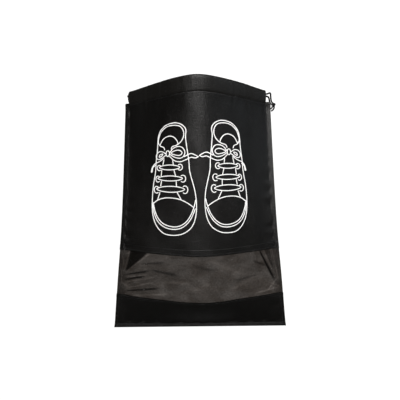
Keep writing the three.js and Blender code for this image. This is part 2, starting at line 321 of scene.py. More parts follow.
# A closed layer over a surface: an upper and a lower skin and a rim between them.
def layer_mesh(name, surface, across_steps, v_steps, thickness, lift=0.0, extra_lift=None):
    across, v = np.meshgrid(across_steps, v_steps, indexing="ij")
    rows, columns = across.shape
    extra = np.zeros_like(v) if extra_lift is None else extra_lift(across, v)
    upper = on_surface(surface, across, v, lift + thickness + extra).reshape(-1, 3)
    lower = on_surface(surface, across, v, lift).reshape(-1, 3)
    count = rows * columns
    index = np.arange(count).reshape(rows, columns)
    a, b, c, d = index[:-1, :-1], index[1:, :-1], index[1:, 1:], index[:-1, 1:]
    top = np.stack([a, b, c, d], -1).reshape(-1, 4)
    bottom = top[:, ::-1] + count
    border = np.concatenate([index[:, 0], index[-1, 1:], index[-2::-1, -1], index[0, -2:0:-1]])
    following = np.roll(border, -1)
    rim = np.stack([border, border + count, following + count, following], -1)
    faces = np.concatenate([top, bottom, rim])
    flat = np.stack([across * BAG_WIDTH / 2, v], -1).reshape(-1, 2)
    corner_uv = np.concatenate([flat, flat])[faces.ravel()]
    return grid_mesh(name, np.concatenate([upper, lower]), faces.tolist(), corner_uv)


def add_node(tree, kind, **settings):
    node = tree.nodes.new(kind)
    for setting, value in settings.items():
        setattr(node, setting, value)
    return node


# Each named input gets a value of its own, or a link where the value is another node's output.
def set_inputs(node, **values):
    for name, value in values.items():
        socket = node.inputs[name.replace("_", " ")]
        if isinstance(value, bpy.types.NodeSocket):
            node.id_data.links.new(value, socket)
        else:
            socket.default_value = value


def maths(tree, operation, first, second=None, third=None):
    node = add_node(tree, "ShaderNodeMath", operation=operation)
    for socket, value in zip(node.inputs, (first, second, third)):
        if isinstance(value, (int, float)):
            socket.default_value = value
        elif value is not None:
            tree.links.new(value, socket)
    return node.outputs[0]


def noise(tree, vector, scale, detail=3.0, roughness=0.55, distortion=0.0):
    node = add_node(tree, "ShaderNodeTexNoise")
    set_inputs(node, Vector=vector, Scale=scale, Detail=detail, Roughness=roughness, Distortion=distortion)
    return node.outputs["Fac"]


def ranged(tree, value, from_low, from_high, to_low, to_high):
    node = add_node(tree, "ShaderNodeMapRange")
    set_inputs(node, Value=value, From_Min=from_low, From_Max=from_high, To_Min=to_low, To_Max=to_high)
    return node.outputs["Result"]


def new_group(name, inputs, outputs):
    group = bpy.data.node_groups.new(name, "ShaderNodeTree")
    for socket, kind, value in inputs:
        item = group.interface.new_socket(name=socket, in_out="INPUT", socket_type=kind)
        if value is not None:
            item.default_value = value
    for socket, kind in outputs:
        group.interface.new_socket(name=socket, in_out="OUTPUT", socket_type=kind)
    entry = group.nodes.new("NodeGroupInput")
    leave = group.nodes.new("NodeGroupOutput")
    return group, entry, leave


def use_group(tree, group, **values):
    node = add_node(tree, "ShaderNodeGroup", node_tree=group)
    set_inputs(node, **values)
    return node


# Bonded web: fibres laid at random and pressed together at a lattice of small oval points.
# Bond is 1 on a bond point, Height is the cloth's relief, Shade its change of tone.
def build_bonded_web():
    group, entry, leave = new_group(
        "bonded_web",
        [("Vector", "NodeSocketVector", None), ("Pitch", "NodeSocketFloat", 0.0016),
         ("Fibre Scale", "NodeSocketFloat", 900.0)],
        [("Bond", "NodeSocketFloat"), ("Height", "NodeSocketFloat"), ("Shade", "NodeSocketFloat")])
    vector = entry.outputs["Vector"]
    split = add_node(group, "ShaderNodeSeparateXYZ")
    set_inputs(split, Vector=vector)
    turns = maths(group, "DIVIDE", math.pi, entry.outputs["Pitch"])
    over = maths(group, "SINE", maths(group, "MULTIPLY", split.outputs["X"], turns))
    along = maths(group, "SINE", maths(group, "MULTIPLY", split.outputs["Y"], turns))
    lattice = maths(group, "ABSOLUTE", maths(group, "MULTIPLY", over, along))
    bond = ranged(group, lattice, 0.62, 0.86, 0.0, 1.0)
    stretched = add_node(group, "ShaderNodeVectorMath", operation="MULTIPLY")
    set_inputs(stretched, Vector=vector)
    stretched.inputs[1].default_value = (1.0, 0.42, 1.0)
    fibres = noise(group, stretched.outputs[0], entry.outputs["Fibre Scale"], 4.0, 0.7, 1.6)
    clouds = noise(group, vector, 55.0, 4.0, 0.6)
    pressed = maths(group, "MULTIPLY", bond, -0.8)
    dimples = maths(group, "MULTIPLY", noise(group, vector, 430.0, 2.0, 0.6), 2.6)
    height = maths(group, "ADD", maths(group, "ADD", fibres, pressed), dimples)
    shade = maths(group, "ADD", ranged(group, fibres, 0.3, 0.7, 0.75, 1.2),
                  ranged(group, clouds, 0.3, 0.7, -0.12, 0.15))
    set_inputs(leave, Bond=bond, Height=height, Shade=shade)
    return group


bonded_web = build_bonded_web()


# Rubbed dust: pale lint and light scuffs that catch on the high fibres.
def build_lint():
    group, entry, leave = new_group(
        "lint", [("Vector", "NodeSocketVector", None), ("Amount", "NodeSocketFloat", 0.5)],
        [("Mask", "NodeSocketFloat")])
    specks = add_node(group, "ShaderNodeTexVoronoi", feature="F1")
    set_inputs(specks, Vector=entry.outputs["Vector"], Scale=170.0, Randomness=1.0)
    near = ranged(group, specks.outputs["Distance"], 0.03, 0.09, 1.0, 0.0)
    patches = ranged(group, noise(group, entry.outputs["Vector"], 24.0, 2.0), 0.52, 0.66, 0.0, 1.0)
    mask = maths(group, "MULTIPLY", maths(group, "MULTIPLY", near, patches), entry.outputs["Amount"])
    set_inputs(leave, Mask=mask)
    return group


lint = build_lint()


def uv_vector(tree):
    node = add_node(tree, "ShaderNodeUVMap", uv_map="cloth")
    return node.outputs["UV"]


def mix_colour(tree, factor, first, second):
    node = add_node(tree, "ShaderNodeMix", data_type="RGBA")
    set_inputs(node, Factor=factor)
    for socket, value in ((node.inputs[6], first), (node.inputs[7], second)):
        if isinstance(value, tuple):
            socket.default_value = (*value, 1)
        else:
            tree.links.new(value, socket)
    return node.outputs[2]


def bump(tree, height, strength, distance):
    node = add_node(tree, "ShaderNodeBump")
    set_inputs(node, Height=height, Strength=strength, Distance=distance)
    return node.outputs["Normal"]


BOND_PITCH = 0.0021
FIBRE_SCALE = 900.0
LINT_AMOUNT = 0.5
LINT_GREY = (0.12, 0.12, 0.125)


def cloth_material(name, dark, light, specular=0.15):
    material, tree, shader = new_material(name)
    vector = uv_vector(tree)
    web = use_group(tree, bonded_web, Vector=vector, Pitch=BOND_PITCH, Fibre_Scale=FIBRE_SCALE)
    dust = use_group(tree, lint, Vector=vector, Amount=LINT_AMOUNT)
    tone = ranged(tree, web.outputs["Shade"], 0.6, 1.35, 0.0, 1.0)
    cloth = mix_colour(tree, tone, dark, light)
    set_inputs(shader, Base_Color=mix_colour(tree, dust.outputs["Mask"], cloth, LINT_GREY),
               Roughness=ranged(tree, web.outputs["Bond"], 0, 1, 0.38, 0.28),
               Normal=bump(tree, web.outputs["Height"], 0.6, 0.00022), Specular_IOR_Level=specular,
               Sheen_Weight=0.003, Sheen_Roughness=0.4, Sheen_Tint=(0.8, 0.86, 1.0, 1))
    return material


# The back's cloth never went through the press that prints the front, so it is duller.
BACK_SPECULAR = 0.03
CLOTH_TONES = ((0.0007, 0.0006, 0.0005), (0.0022, 0.0020, 0.0017))
black_cloth = cloth_material("black_nonwoven_cloth", *CLOTH_TONES)
unpressed_cloth = cloth_material("black_nonwoven_unpressed", *CLOTH_TONES, specular=BACK_SPECULAR)


# Above the casing's seam each panel's cloth runs on as a short tongue inside the casing.
def tongue_dip(v):
    return TONGUE_DIP * smooth_step(CASING_SEAM, CASING_SEAM + 0.0014, v)[..., None]


def back_cloth_surface(across, v):
    return back_surface(across, v) + tongue_dip(v) * surface_normal(back_shape, across, v)


def panel_columns(count):
    inner = np.linspace(-1, 1, count)
    edge = np.linspace(1, SEAM_EDGE, 5)[1:]
    return np.concatenate([-edge[::-1], inner, edge])


tongue_steps = np.array([0.25, 0.5, 1.0])
back_panel = add_piece(
    "back_cloth",
    layer_mesh("back_cloth", back_cloth_surface, panel_columns(121),
               np.append(np.linspace(0, CASING_SEAM, 150), CASING_SEAM + TONGUE_LENGTH * tongue_steps), CLOTH,
               -BACK_LEVEL),
    unpressed_cloth)
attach(back_panel, "bag")
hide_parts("back_panel")

# ---------------------------------------------------------------------------------------
# Front lower panel: the black band between the bottom seam and the window. Its upper edge
# is turned over once and sewn down on the film.

HEM_FOLD = 0.0055
FOLD_STEP = 0.0006


def near_steps(places, half_width=0.0008):
    return [place + shift for place in places for shift in (-half_width, -half_width / 3, half_width / 3,
                                                            half_width)]


def rows_with(start, end, count, places):
    steps = np.concatenate([np.linspace(start, end, count), near_steps(places)])
    return np.unique(np.clip(steps, start, end).round(6))


# The window's edges bow a little, as the slack cloth pulls them down in the middle.
def window_start(across):
    return WINDOW_START - 0.0027 + 0.0047 * np.minimum(1, np.abs(across)) ** 2


def window_end(across):
    return WINDOW_END - 0.0012 + 0.0020 * np.minimum(1, np.abs(across)) ** 2


def lower_surface(across, v):
    return front_surface(across, v + (window_start(across) - WINDOW_START) * (v / WINDOW_START) ** 2)


def upper_surface(across, v):
    bowed = v + (window_end(across) - WINDOW_END) * np.exp(-(v - WINDOW_END) / 0.04)
    return front_surface(across, bowed) - tongue_dip(v) * surface_normal(front_shape, across, bowed)


def lower_fold(across, v):
    return FOLD_STEP * smooth_step(WINDOW_START - HEM_FOLD - 0.0003, WINDOW_START - HEM_FOLD + 0.0003, v)


front_lower = add_piece(
    "front_lower_cloth",
    layer_mesh("front_lower_cloth", lower_surface, panel_columns(221),
               rows_with(0, WINDOW_START, 60, [WINDOW_START - HEM_FOLD, BOTTOM_ALLOWANCE]), CLOTH, -CLOTH / 2,
               lower_fold),
    black_cloth)
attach(front_lower, "bag")
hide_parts("front_lower_panel")

# ---------------------------------------------------------------------------------------
# Window: a band of thin clear film, cut straight and sewn between the two black panels.
# It hangs slack between its seams and creases fan out from where the side seams pin it.

FILM = 0.0002
FILM_LAP = 0.003
# The haze's strength and its two brown-grey tints paint the film's reflection of the room.
FILM_PAINTED_REFLECTION = 0.042
PAINTED_REFLECTION_TINTS = ((0.27, 0.225, 0.195), (0.36, 0.325, 0.30))
# Painted highlight along the film's creases, and the share of its painted reflection that the dent takes
# away, as painted shade.
CREASE_PAINTED_HIGHLIGHT = 950
DENT_DEPTH = 0.0016
DENT_PAINTED_SHADE = 0.95


def metres(route):
    return np.asarray(route, float) / 1000


def line_share(x, v, start, end):
    along = np.subtract(end, start)
    return ((x - start[0]) * along[1] - (v - start[1]) * along[0]) / np.linalg.norm(along)


def streak(x, v, start, end, width):
    along = np.subtract(end, start)
    length = np.linalg.norm(along)
    place = ((x - start[0]) * along[0] + (v - start[1]) * along[1]) / length ** 2
    distance = line_share(x, v, start, end) / (width * (0.45 + 0.55 * np.clip(place, 0, 1)))
    fade = smooth_step(-0.12, 0.12, place) * smooth_step(1.15, 0.75, place)
    return np.exp(-distance ** 2) * fade


# Creases: each runs from a pinned place at the side seam into the slack middle. Start and
# end across and up the bag, width and height, all in millimetres.
FILM_CREASES = (((-134, 104), (-90, 116), 1.7, -1.1), ((-136, 99), (-96, 108), 1.5, 1.2),
                ((-136, 94), (-100, 105), 1.6, -1.3), ((-137, 89), (-86, 104), 2.0, 1.0),
                ((-134, 73), (-74, 84), 2.0, -1.2), ((-132, 79), (-88, 94), 1.8, 1.0),
                ((-120, 66), (-60, 74), 2.2, 0.9), ((-136, 108), (-85, 151), 1.3, 1.1),
                ((-126, 150), (-139, 108), 0.9, 1.6), ((-140, 148), (-138, 120), 0.8, 1.4),
                ((-141, 141), (-125, 146), 0.8, 1.2), ((-142, 118), (-144, 86), 1.0, 1.2),
                ((-144, 88), (-132, 82), 2.4, 1.0), ((-100, 128), (-62, 134), 3.0, -0.7),
                ((-84, 118), (-40, 112), 3.4, -0.8), ((-70, 96), (-20, 100), 4.0, 0.6),
                ((108, 150), (137, 92), 2.6, -1.3), ((116, 149), (139, 100), 1.4, 1.1),
                ((131, 150), (144, 93), 1.1, 1.7), ((138, 149), (145, 118), 1.0, 1.1),
                ((124, 88), (147, 78), 1.3, 1.6), ((143, 94), (126, 74), 1.3, 1.3),
                ((147, 76), (104, 70), 1.8, 1.0), ((120, 120), (96, 132), 2.2, -0.7),
                ((104, 104), (60, 98), 3.2, -0.5), ((-30, 80), (20, 98), 6.0, 0.40),
                ((20, 140), (70, 112), 6.0, 0.40), ((60, 84), (98, 98), 4.5, 0.45),
                ((-10, 132), (30, 120), 4.0, -0.4), ((-90, 92), (-40, 88), 5.0, 0.40))


def film_creases(x, v):
    total = np.zeros(np.broadcast(x, v).shape)
    for start, end, width, height in FILM_CREASES:
        total = total + height / 1000 * streak(x, v, metres(start), metres(end), width / 1000)
    return total


# The film lies back on the dark lining in one corner, below its upper left end, and in a
# narrower fold by its right end.
# These marks also take away part of the film's painted reflection there, as painted shade.
def film_dent(x, v):
    fold = line_share(x, v, (-0.086, 0.153), (-0.137, 0.108))
    side = line_share(x, v, (-0.137, 0.108), (-0.124, 0.154))
    left = smooth_step(0, 0.0016, fold) * smooth_step(0, 0.0022, side)
    near = line_share(x, v, (0.141, 0.086), (0.113, 0.152))
    far = line_share(x, v, (0.127, 0.153), (0.141, 0.086))
    right = smooth_step(0, 0.004, near) * smooth_step(0, 0.0015, far)
    return left + 0.62 * right


def film_relief(across, v):
    x = across_to_x(across, v)
    share = np.clip((v - WINDOW_START) / (WINDOW_END - WINDOW_START), 0, 1)
    slack = np.sin(np.pi * share) ** 0.6
    waves = 0.0007 * np.sin(x * 61 + v * 24) * np.sin(v * 96 + x * 13)
    waves = waves + 0.0004 * np.sin(x * 150 - v * 90 + 2 * np.sin(v * 60)) * np.sin(v * 170 + x * 31)
    inside = np.clip((1 - np.abs(across)) / 0.04, 0, 1)
    return slack * inside * (film_creases(x, v) + waves - DENT_DEPTH * film_dent(x, v))


def film_surface(across, v):
    raised = film_relief(across, v)[..., None]
    return front_surface(across, v) + raised * surface_normal(front_shape, across, v)


# Clear film with a soft gloss, crinkled all over. Its faint brown-grey haze is a painted
# reflection of the room; a per-point attribute paints it thinner where the film clings to the
# cloth behind it, as painted shade, and thicker along its creases, as painted highlights.
def film_material():
    material, tree, shader = new_material("clear_window_film")
    vector = uv_vector(tree)
    stretched = add_node(tree, "ShaderNodeMapping")
    set_inputs(stretched, Vector=vector, Scale=(0.55, 1.0, 1.0))
    crinkle = noise(tree, stretched.outputs["Vector"], 62.0, 4.0, 0.5, 0.9)
    blotch = noise(tree, stretched.outputs["Vector"], 44.0, 4.0, 0.6, 0.6)
    own = add_node(tree, "ShaderNodeAttribute", attribute_name="painted_reflection", attribute_type="GEOMETRY")
    grain = noise(tree, vector, 300.0, 2.0, 0.6, 0.4)
    # Painted reflection: the per-point attribute, varied by blotches and grain, sets how much brown-grey the
    # film shows.
    painted_reflection_amount = maths(tree, "MULTIPLY", ranged(tree, blotch, 0.3, 0.7, 0.78, 1.22), own.outputs["Fac"])
    painted_reflection_amount = maths(tree, "MULTIPLY", painted_reflection_amount, ranged(tree, grain, 0.32, 0.68, 0.72, 1.28))
    set_inputs(shader, Base_Color=mix_colour(tree, ranged(tree, blotch, 0.35, 0.65, 0, 1), *PAINTED_REFLECTION_TINTS),
               Roughness=ranged(tree, blotch, 0.3, 0.7, 0.22, 0.34), Specular_IOR_Level=0.20,
               Alpha=maths(tree, "MULTIPLY", painted_reflection_amount, FILM_PAINTED_REFLECTION), Normal=bump(tree, crinkle, 0.45, 0.0030))
    return material


def add_painted_reflection(piece, across_steps, v_steps):
    across, v = np.meshgrid(across_steps, v_steps, indexing="ij")
    x = across_to_x(across, v)
    # Painted reflection at each point: lighter along the creases as painted highlights, darker in the dent as
    # painted shade, then painted darker towards the left, further up, in a patch left of the middle and near
    # the seams, and lighter in the upper left.
    painted_reflection = (1.0 + CREASE_PAINTED_HIGHLIGHT * film_creases(x, v)) * (1 - DENT_PAINTED_SHADE * film_dent(x, v))
    patches = np.sin(x * 88 + 2 * np.sin(v * 70)) * np.sin(v * 130 + 1.6 * np.sin(x * 52))
    painted_reflection = painted_reflection * (1 + 0.16 * patches) * (0.86 + 0.14 * smooth_step(-0.95, 0.05, across))
    painted_reflection = painted_reflection * (1 - 0.16 * smooth_step(0.080, 0.132, v))
    painted_reflection = painted_reflection * (1 - 0.20 * np.exp(-((across + 0.3) / 0.28) ** 2 - ((v - 0.096) / 0.018) ** 2))
    painted_reflection = painted_reflection * (1 + 0.25 * np.exp(-((across + 0.5) / 0.25) ** 2) * smooth_step(0.105, 0.13, v))
    painted_reflection = painted_reflection * (0.55 + 0.45 * smooth_step(0.99, 0.90, np.abs(across)))
    layer = piece.data.attributes.new("painted_reflection", "FLOAT", "POINT")
    layer.data.foreach_set("value", np.tile(np.clip(painted_reflection, 0.05, 3).ravel(), 2).astype(np.float32))


film_columns = panel_columns(361)
film_rows = np.linspace(WINDOW_START - FILM_LAP - 0.003, WINDOW_END + FILM_LAP, 120)
window_film = add_piece(
    "window_film_band",
    layer_mesh("window_film_band", film_surface, film_columns, film_rows, FILM, -CLOTH / 2 - 0.0004),
    film_material())
add_painted_reflection(window_film, film_columns, film_rows)
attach(window_film, "bag")
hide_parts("window_film")

# ---------------------------------------------------------------------------------------
# Front upper panel: the printed cloth from the window to the casing. Its lower edge is
# turned over once, about a finger's width, and sewn down on the film.

UPPER_FOLD = 0.011


def upper_fold(across, v):
    return FOLD_STEP * smooth_step(WINDOW_END + UPPER_FOLD + 0.0003, WINDOW_END + UPPER_FOLD - 0.0003, v)


front_upper = add_piece(
    "front_upper_cloth",
    layer_mesh("front_upper_cloth", upper_surface, panel_columns(221),
               rows_with(WINDOW_END, CASING_SEAM + TONGUE_LENGTH, 170,
                         [WINDOW_END + UPPER_FOLD, CASING_SEAM + 0.0007]), CLOTH, -CLOTH / 2,
               upper_fold),
    black_cloth)
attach(front_upper, "bag")
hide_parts("front_upper_panel")

# ---------------------------------------------------------------------------------------
# Casings: each panel's top edge is folded to the inside and sewn down, which leaves a
# flat tunnel along the mouth, open at both ends, for the drawstring.

# Painted light: the casings use the panels' black cloth in lighter tones, for the light they catch along the
# mouth.
HEM_PAINTED_LIGHTER_TONES = ((0.0022, 0.0020, 0.0017), (0.0046, 0.0042, 0.0037))
CASING_HEIGHT = 0.0056
CASING_END = 0.985
CASING_GAP = 0.0004
MOUTH_REACH = 0.09
END_BULGE = 0.026
RIGHT_BULGE = 0.25
MOUTH_ARCH = 0.085
SEWN_FULLNESS = 0.4
SECTION_POINTS = 44
CASING_STATIONS = 241


def casing_section(side, wall):
    angle = np.linspace(0, 2 * np.pi, SECTION_POINTS, endpoint=False)
    along = np.sign(np.cos(angle)) * np.abs(np.cos(angle)) ** 0.45
    upwards = np.sign(np.sin(angle)) * np.abs(np.sin(angle)) ** 0.6
    fullness = SEWN_FULLNESS + (1 - SEWN_FULLNESS) * smooth_step(-1, 0.2, along)
    half_height = CASING_HEIGHT * fullness / 2
    height = side * (CLOTH / 2 - half_height + upwards * (half_height - wall))
    half_length = HEM_LENGTH / 2 - CASING_GAP - wall
    return CASING_SEAM + CASING_GAP + HEM_LENGTH / 2 + along * half_length, height


def casing_mesh(name, surface, side):
    stations = np.linspace(-CASING_END, CASING_END, CASING_STATIONS)
    rings = []
    for wall in (0.0, CLOTH):
        v, height = casing_section(side, wall)
        stretch = MOUTH_REACH + MOUTH_ARCH * (1 - stations[:, None] ** 2)
        reached = CASING_SEAM + (v[None, :] - CASING_SEAM) * (1 + stretch)
        along = (v[None, :] - CASING_SEAM) / HEM_LENGTH
        bulge = END_BULGE * np.sin(np.pi * np.clip(along * 0.92 + 0.04, 0, 1)) ** 0.7
        pushed = smooth_step(-0.90, -CASING_END, stations[:, None])
        pushed = pushed - RIGHT_BULGE * smooth_step(0.90, CASING_END, stations[:, None])
        ends = stations[:, None] - bulge * pushed
        rings.append(on_surface(surface, ends, reached, height[None, :] + 0 * stations[:, None]))
    outer, inner = rings
    points = np.concatenate([outer.reshape(-1, 3), inner.reshape(-1, 3)])
    count = CASING_STATIONS * SECTION_POINTS
    index = np.arange(count).reshape(CASING_STATIONS, SECTION_POINTS)
    turned = np.roll(index, -1, axis=1)
    skin = np.stack([index[:-1], turned[:-1], turned[1:], index[1:]], -1).reshape(-1, 4)
    lining = skin[:, ::-1] + count
    ends = []
    for station, flip in ((0, False), (CASING_STATIONS - 1, True)):
        cap = np.stack([index[station], index[station] + count, turned[station] + count, turned[station]], -1)
        ends.append(cap[:, ::-1] if flip else cap)
    faces = np.concatenate([skin, lining, *ends])
    if side < 0:
        faces = faces[:, ::-1]
    v, _ = casing_section(side, 0.0)
    flat = np.stack(np.broadcast_arrays(stations[:, None] * BAG_WIDTH / 2, v[None, :]), -1).reshape(-1, 2)
    corner_uv = np.concatenate([flat, flat])[faces.ravel()]
    return grid_mesh(name, points, faces.tolist(), corner_uv)


# The casings' cloth is a lighter copy of the black cloth: painted light.
hem_cloth_painted_lighter = cloth_material("black_nonwoven_hem_painted_lighter", *HEM_PAINTED_LIGHTER_TONES)
for casing_name, node_name, surface, side in (("front_casing_cloth", "front_casing", front_surface, 1),
                                              ("back_casing_cloth", "back_casing", back_surface, -1)):
    casing = add_piece(casing_name, casing_mesh(casing_name, surface, side), hem_cloth_painted_lighter)
    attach(casing, "bag")
    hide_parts(node_name)

# ---------------------------------------------------------------------------------------
# Seams: rows of lockstitch in black polyester thread, about three millimetres a stitch.
# Each stitch is a short plump bar that sinks a little into the cloth at both ends.

STITCH_PITCH = 0.0030
STITCH_LENGTH = 0.0026
STITCH_WIDTH = 0.00055
STITCH_LIFT = 0.00042
THREAD_PAINTED_SHADE_TONES = ((0.003, 0.003, 0.0032), (0.011, 0.011, 0.012))
SEAM_INSET = 0.003


def build_stitch_row():
    tree = bpy.data.node_groups.new("stitch_row", "GeometryNodeTree")
    interface = tree.interface
    interface.new_socket(name="Geometry", in_out="INPUT", socket_type="NodeSocketGeometry")
    for socket in ("Pitch", "Length", "Width"):
        interface.new_socket(name=socket, in_out="INPUT", socket_type="NodeSocketFloat")
    interface.new_socket(name="Material", in_out="INPUT", socket_type="NodeSocketMaterial")
    interface.new_socket(name="Geometry", in_out="OUTPUT", socket_type="NodeSocketGeometry")
    entry = tree.nodes.new("NodeGroupInput")
    leave = tree.nodes.new("NodeGroupOutput")
    line = tree.nodes.new("GeometryNodeMeshToCurve")
    points = add_node(tree, "GeometryNodeCurveToPoints", mode="LENGTH")
    bar = tree.nodes.new("GeometryNodeMeshUVSphere")
    set_inputs(bar, Segments=8, Rings=6, Radius=0.5)
    size = tree.nodes.new("ShaderNodeCombineXYZ")
    turn = add_node(tree, "FunctionNodeAlignRotationToVector", axis="X")
    rows = tree.nodes.new("GeometryNodeInstanceOnPoints")
    real = tree.nodes.new("GeometryNodeRealizeInstances")
    smooth = tree.nodes.new("GeometryNodeSetShadeSmooth")
    paint = tree.nodes.new("GeometryNodeSetMaterial")
    for source, output, target, socket in (
            (entry, "Geometry", line, "Mesh"), (line, "Curve", points, "Curve"),
            (entry, "Pitch", points, "Length"), (points, "Tangent", turn, "Vector"),
            (entry, "Length", size, "X"), (entry, "Width", size, "Y"), (entry, "Width", size, "Z"),
            (points, "Points", rows, "Points"), (bar, "Mesh", rows, "Instance"),
            (turn, "Rotation", rows, "Rotation"), (size, "Vector", rows, "Scale"),
            (rows, "Instances", real, "Geometry"), (real, "Geometry", smooth, "Geometry"),
            (smooth, "Geometry", paint, "Geometry"), (entry, "Material", paint, "Material"),
            (paint, "Geometry", leave, "Geometry")):
        tree.links.new(source.outputs[output], target.inputs[socket])
    return tree


stitch_row = build_stitch_row()


# Twisted thread: fine slanting ply lines over a satin black.
def thread_material():
    material, tree, shader = new_material("black_sewing_thread")
    place = add_node(tree, "ShaderNodeTexCoord").outputs["Object"]
    ply = add_node(tree, "ShaderNodeTexWave", wave_type="BANDS", bands_direction="DIAGONAL")
    set_inputs(ply, Vector=place, Scale=2600.0, Distortion=1.0)
    # The grooves between the plies are painted darker than the plies, as painted shade.
    set_inputs(shader, Base_Color=mix_colour(tree, ply.outputs["Fac"], *THREAD_PAINTED_SHADE_TONES), Roughness=0.45,
               Normal=bump(tree, ply.outputs["Fac"], 0.4, 0.00008), Specular_IOR_Level=0.2,
               Sheen_Weight=0.02)
    return material


sewing_thread = thread_material()


def evaluated_mesh(source):
    graph = bpy.context.evaluated_depsgraph_get()
    graph.update()
    return bpy.data.meshes.new_from_object(source.evaluated_get(graph))


def add_stitches(name, node_name, path):
    mesh = bpy.data.meshes.new(name + "_path")
    mesh.from_pydata([tuple(point) for point in path], [(i, i + 1) for i in range(len(path) - 1)], [])
    source = bpy.data.objects.new(name + "_path", mesh)
    bpy.context.collection.objects.link(source)
    modifier = source.modifiers.new("stitches", "NODES")
    modifier.node_group = stitch_row
    values = {"Pitch": STITCH_PITCH, "Length": STITCH_LENGTH, "Width": STITCH_WIDTH,
              "Material": sewing_thread}
    for item in stitch_row.interface.items_tree:
        if item.in_out == "INPUT" and item.name in values:
            modifier[item.identifier] = values[item.name]
    stitches = bpy.data.objects.new(name, evaluated_mesh(source))
    bpy.data.objects.remove(source)
    bpy.context.collection.objects.link(stitches)
    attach(stitches, "bag")
    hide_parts(node_name)


def cross_path(surface, v, end, lift):
    return on_surface(surface, np.linspace(-end, end, 400), v, lift)


def side_path(side):
    return on_surface(front_surface, side * 1.012, np.linspace(0.011, CASING_SEAM - 0.003, 400), STITCH_LIFT)


FOLDED_LIFT = STITCH_LIFT + FOLD_STEP
add_stitches("front_casing_stitches", "front_casing_thread",
             cross_path(front_surface, CASING_SEAM - 0.0012, 0.99, STITCH_LIFT))
add_stitches("back_casing_stitches", "back_casing_thread",
             cross_path(back_surface, CASING_SEAM - 0.003, 0.78, CLOTH + 0.0001))
add_stitches("window_top_stitches", "window_top_thread",
             cross_path(upper_surface, WINDOW_END + SEAM_INSET, 0.99, FOLDED_LIFT))
add_stitches("window_bottom_stitches", "window_bottom_thread",
             cross_path(lower_surface, WINDOW_START - 0.0022, 0.99, FOLDED_LIFT))
add_stitches("bottom_stitches", "bottom_seam_thread",
             cross_path(front_surface, BOTTOM_ALLOWANCE - 0.0015, 1.0, STITCH_LIFT))
add_stitches("left_side_stitches", "left_side_thread", side_path(-1))
add_stitches("right_side_stitches", "right_side_thread", side_path(1))

# ---------------------------------------------------------------------------------------
# Print: a pair of lace-up canvas shoes seen from above, in white ink lines pressed
# through a screen on to the cloth before it was sewn. Toes point to the window.

INK_WIDTH = 0.00142
INK_THICKNESS = 0.00006
INK_LIFT = CLOTH / 2 + 0.00005
INK_STACK = 0.000004
INK_TONES = ((0.58, 0.58, 0.575), (0.26, 0.26, 0.26))

# Where each shoe lies on the cloth, in millimetres: the side it is on, its middle line at
# heel, the lean of that line towards the toe, its heel's place above the bottom edge,
# how far its laces sit towards its partner, how far its middle is drawn to the heel, and
# the share by which its toe is narrower.
LEFT_SHOE = (-1, 45.2, 5.3, 376.0, 0.0, 4.2, 0.0)
RIGHT_SHOE = (1, 47.8, 7.9, 379.5, 2.4, 2.4, 0.07)
SHOE_LENGTH = 190.0

# Every stroke is (closed, points), in millimetres: towards its partner, and down from the
# heel. The body strokes outline the shoe; the lace strokes are all that is tied over it.
OUTLINE = (True, [(8.7, 0.2), (18, 3), (24.5, 8.6), (27, 15), (26.4, 25), (28, 39), (30, 53), (32, 67),
                  (33, 80), (35.3, 90.5), (39, 103), (42.7, 117), (44.8, 131), (45.5, 144), (44.5, 157),
                  (41, 169.5), (33.6, 180), (20, 188), (4, 190.4), (-9.8, 188.4), (-19.6, 181),
                  (-26.3, 170), (-30, 156), (-31, 140), (-30, 122), (-28, 105), (-25.5, 91), (-24, 79),
                  (-23, 66), (-21, 51), (-19.8, 39), (-19.2, 28), (-17.5, 18), (-12.6, 9.3), (-4.2, 2.6)])
HEEL_COLLAR = (False, [(-7.7, 45.4), (-9.4, 41.2), (-15.4, 38), (-18.6, 31.5), (-17.2, 23), (-13, 13.5),
                       (-4.2, 6), (7, 4.2), (17.5, 7), (22.7, 14.5), (23.5, 23.2), (19.6, 32.2),
                       (12.6, 38), (5.2, 40.5), (3.1, 44.7)])
TONGUE = (False, [(-15.4, 36.4), (-9.8, 26.6), (-1, 22.2), (7, 24), (12.3, 30), (14.7, 36)])
TOE_CAP = (False, [(-28.7, 138.4), (-21, 132.6), (-11.2, 129), (-1.4, 128), (9.8, 128.7), (19.6, 131.2),
                   (30.8, 136.4), (41, 143.2)])
TOE_RAND_INNER = (False, [(-29, 137), (-26.3, 150), (-20.5, 163), (-11.2, 172), (2.8, 176), (15.4, 175),
                          (26.6, 168.6), (35, 157.8), (41, 143.2), (43.7, 131)])
TOE_RAND_OUTER = (False, [(-30.2, 139), (-27.3, 155), (-21, 168.6), (-10.5, 177), (3.5, 180.4),
                          (17.5, 178.6), (28.7, 171.4), (37, 160.6), (43.4, 145.3)])
BODY_STROKES = [OUTLINE, HEEL_COLLAR, TONGUE, TOE_CAP, TOE_RAND_INNER, TOE_RAND_OUTER]

